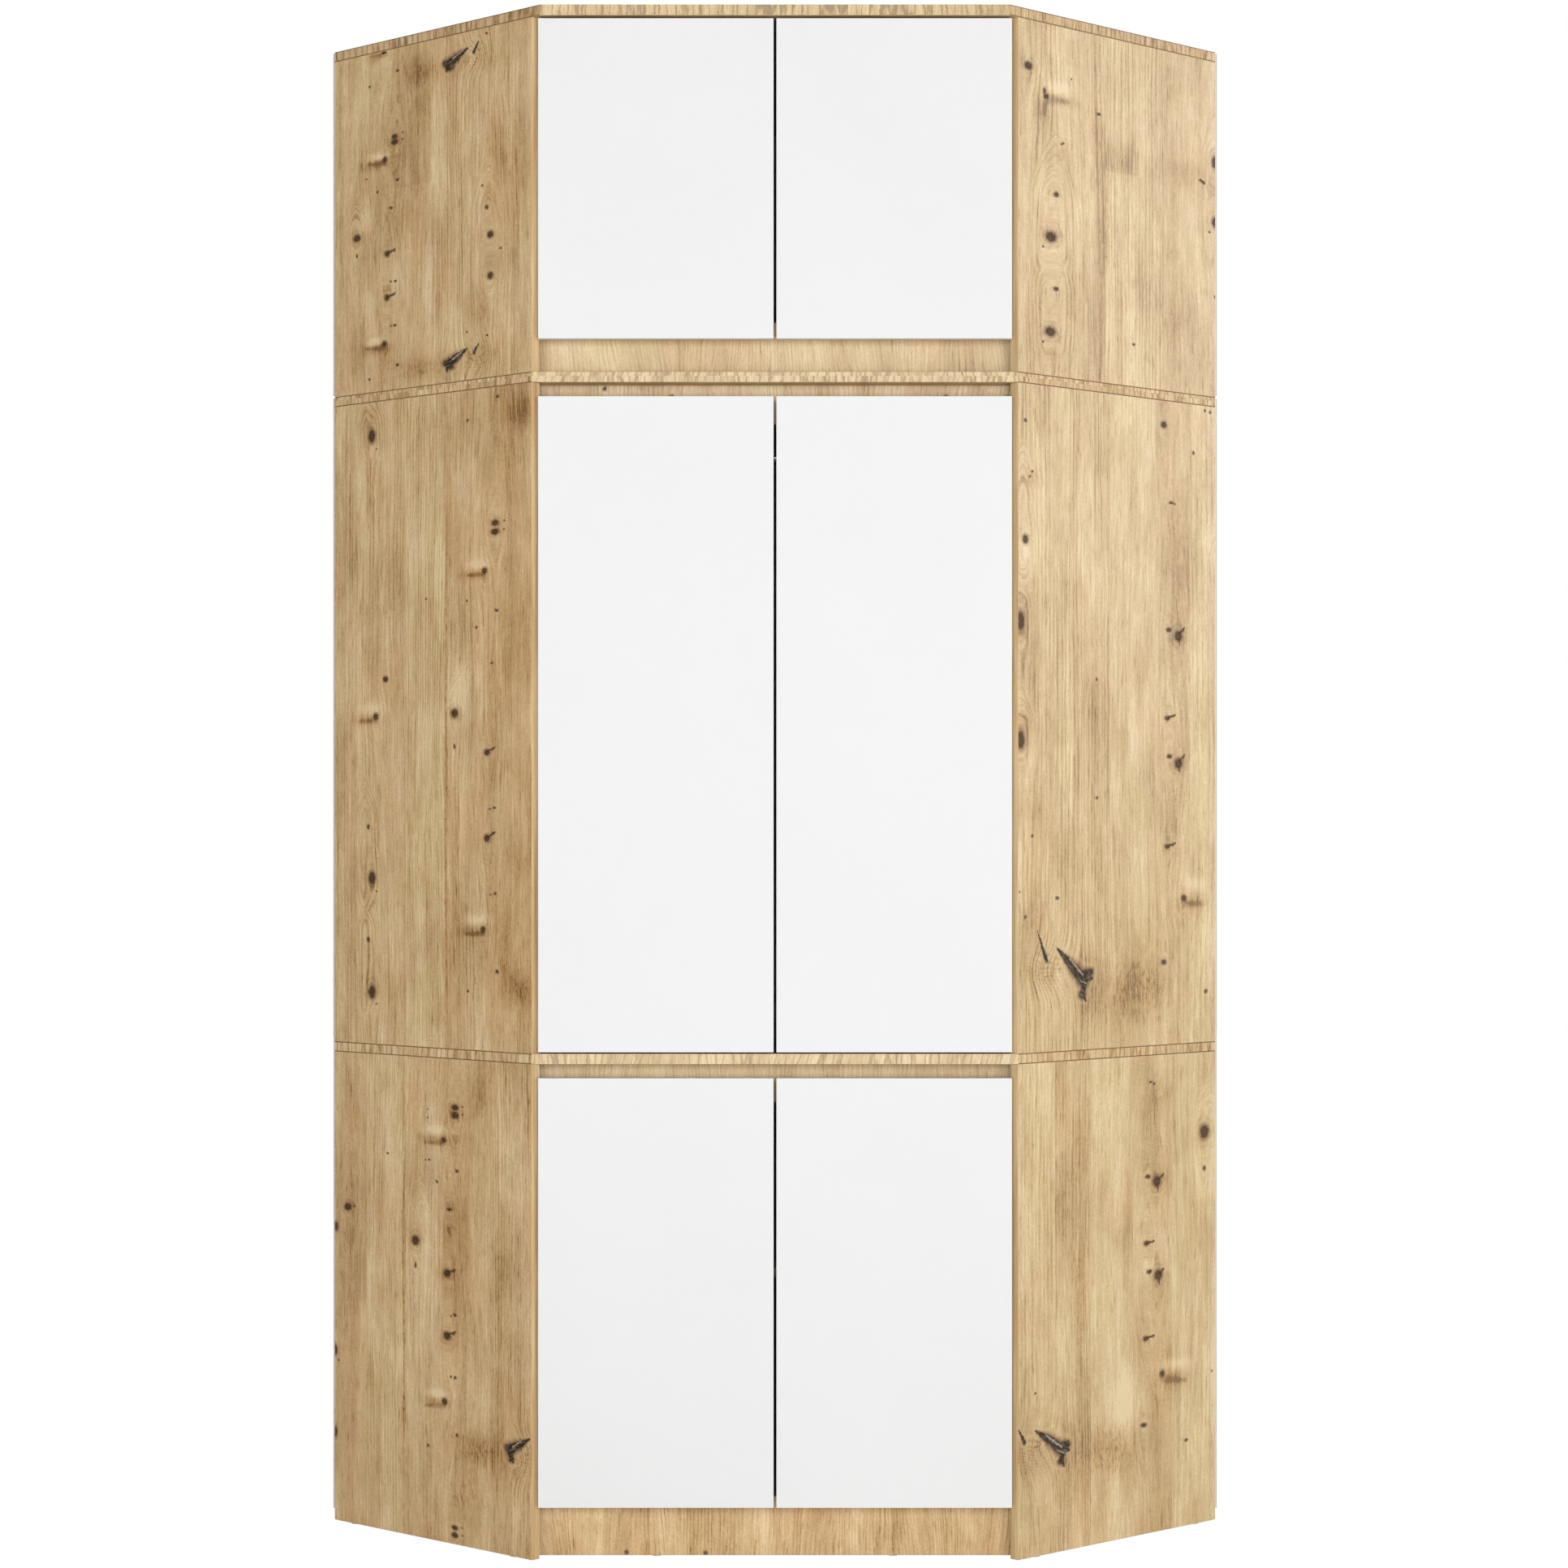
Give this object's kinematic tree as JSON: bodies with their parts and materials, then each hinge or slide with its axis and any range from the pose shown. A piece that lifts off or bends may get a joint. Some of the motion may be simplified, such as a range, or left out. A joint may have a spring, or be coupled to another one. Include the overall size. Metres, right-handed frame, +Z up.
{
  "type": "corner wardrobe",
  "caption": "Tall corner wardrobe with a diagonal front: stacked oak-faced cabinets, each closed by a pair of plain hinged doors without handles, with finger gaps.",
  "frame": {"origin": "on the floor, under the middle of the wardrobe's outline", "axes": "+Z up, the doors face -Y, the rear corner between the two walls is at +Y"},
  "size_m": [1.4142, 1.0596, 2.35],
  "materials": {
    "oak_board": "matt laminate with a knotty oak pattern on chipboard",
    "white_door": "plain matt white laminate on chipboard",
    "hardboard_back": "thin hardboard, light inside and raw brown outside",
    "hinge_nickel": "nickel-plated pressed steel",
    "steel_fixings": "zinc-plated steel",
    "zinc_cams": "bare die-cast zinc",
    "rail_chrome": "chrome-plated steel tube",
    "bracket_zinc": "chrome-plated die-cast zinc",
    "nickel_pins": "nickel-plated steel pins",
    "beech_dowel": "fluted beech",
    "glide_plastic": "brown plastic"
  },
  "bodies": {
    "carcass": {"bracket_screws": "steel_fixings", "cam_bolts": "steel_fixings", "cam_locks": "zinc_cams", "clothes_rail": "rail_chrome", "crown_board": "oak_board", "dividing_board": "oak_board", "dowels": "beech_dowel", "floor_board": "oak_board", "floor_glides": "glide_plastic", "hinge_arm_screws": "steel_fixings", "hinge_arms": "hinge_nickel", "hinge_plate_screws": "steel_fixings", "hinge_plates": "hinge_nickel", "lower_corner_post": "oak_board", "lower_grip_rail": "oak_board", "lower_shelf": "oak_board", "lower_side_left": "oak_board", "lower_side_right": "oak_board", "main_back_left": "hardboard_back", "main_back_right": "hardboard_back", "main_top_board": "oak_board", "middle_corner_post": "oak_board", "middle_grip_rail": "oak_board", "middle_side_left": "oak_board", "middle_side_right": "oak_board", "plinth": "oak_board", "rail_brackets": "bracket_zinc", "rear_foot": "oak_board", "shelf_pins": "nickel_pins", "upper_back_left": "hardboard_back", "upper_back_right": "hardboard_back", "upper_corner_post": "oak_board", "upper_floor_board": "oak_board", "upper_plinth": "oak_board", "upper_side_left": "oak_board", "upper_side_right": "oak_board"},
    "lower_left_door": {"lower_door_left": "white_door", "lower_left_hinge_cups": "hinge_nickel", "lower_left_hinge_pins": "steel_fixings", "lower_left_cup_screws": "steel_fixings"},
    "lower_right_door": {"lower_door_right": "white_door", "lower_right_hinge_cups": "hinge_nickel", "lower_right_hinge_pins": "steel_fixings", "lower_right_cup_screws": "steel_fixings"},
    "middle_left_door": {"middle_door_left": "white_door", "middle_left_hinge_cups": "hinge_nickel", "middle_left_hinge_pins": "steel_fixings", "middle_left_cup_screws": "steel_fixings"},
    "middle_right_door": {"middle_door_right": "white_door", "middle_right_hinge_cups": "hinge_nickel", "middle_right_hinge_pins": "steel_fixings", "middle_right_cup_screws": "steel_fixings"},
    "upper_left_door": {"upper_door_left": "white_door", "upper_left_hinge_cups": "hinge_nickel", "upper_left_hinge_pins": "steel_fixings", "upper_left_cup_screws": "steel_fixings"},
    "upper_right_door": {"upper_door_right": "white_door", "upper_right_hinge_cups": "hinge_nickel", "upper_right_hinge_pins": "steel_fixings", "upper_right_cup_screws": "steel_fixings"}
  },
  "joints": [
    {"name": "lower_left_door_hinge", "type": "hinge", "parent": "carcass", "child": "lower_left_door", "pos_m": [-0.34821, -0.51676, 0.406], "axis": [0, 0, -1], "range_deg": [0, 95]},
    {"name": "lower_right_door_hinge", "type": "hinge", "parent": "carcass", "child": "lower_right_door", "pos_m": [0.34821, -0.51676, 0.406], "axis": [0, 0, 1], "range_deg": [0, 95]},
    {"name": "middle_left_door_hinge", "type": "hinge", "parent": "carcass", "child": "middle_left_door", "pos_m": [-0.34821, -0.51676, 1.265], "axis": [0, 0, -1], "range_deg": [0, 95]},
    {"name": "middle_right_door_hinge", "type": "hinge", "parent": "carcass", "child": "middle_right_door", "pos_m": [0.34821, -0.51676, 1.265], "axis": [0, 0, 1], "range_deg": [0, 95]},
    {"name": "upper_left_door_hinge", "type": "hinge", "parent": "carcass", "child": "upper_left_door", "pos_m": [-0.34821, -0.51676, 2.089], "axis": [0, 0, -1], "range_deg": [0, 95]},
    {"name": "upper_right_door_hinge", "type": "hinge", "parent": "carcass", "child": "upper_right_door", "pos_m": [0.34821, -0.51676, 2.089], "axis": [0, 0, 1], "range_deg": [0, 95]}
  ]
}
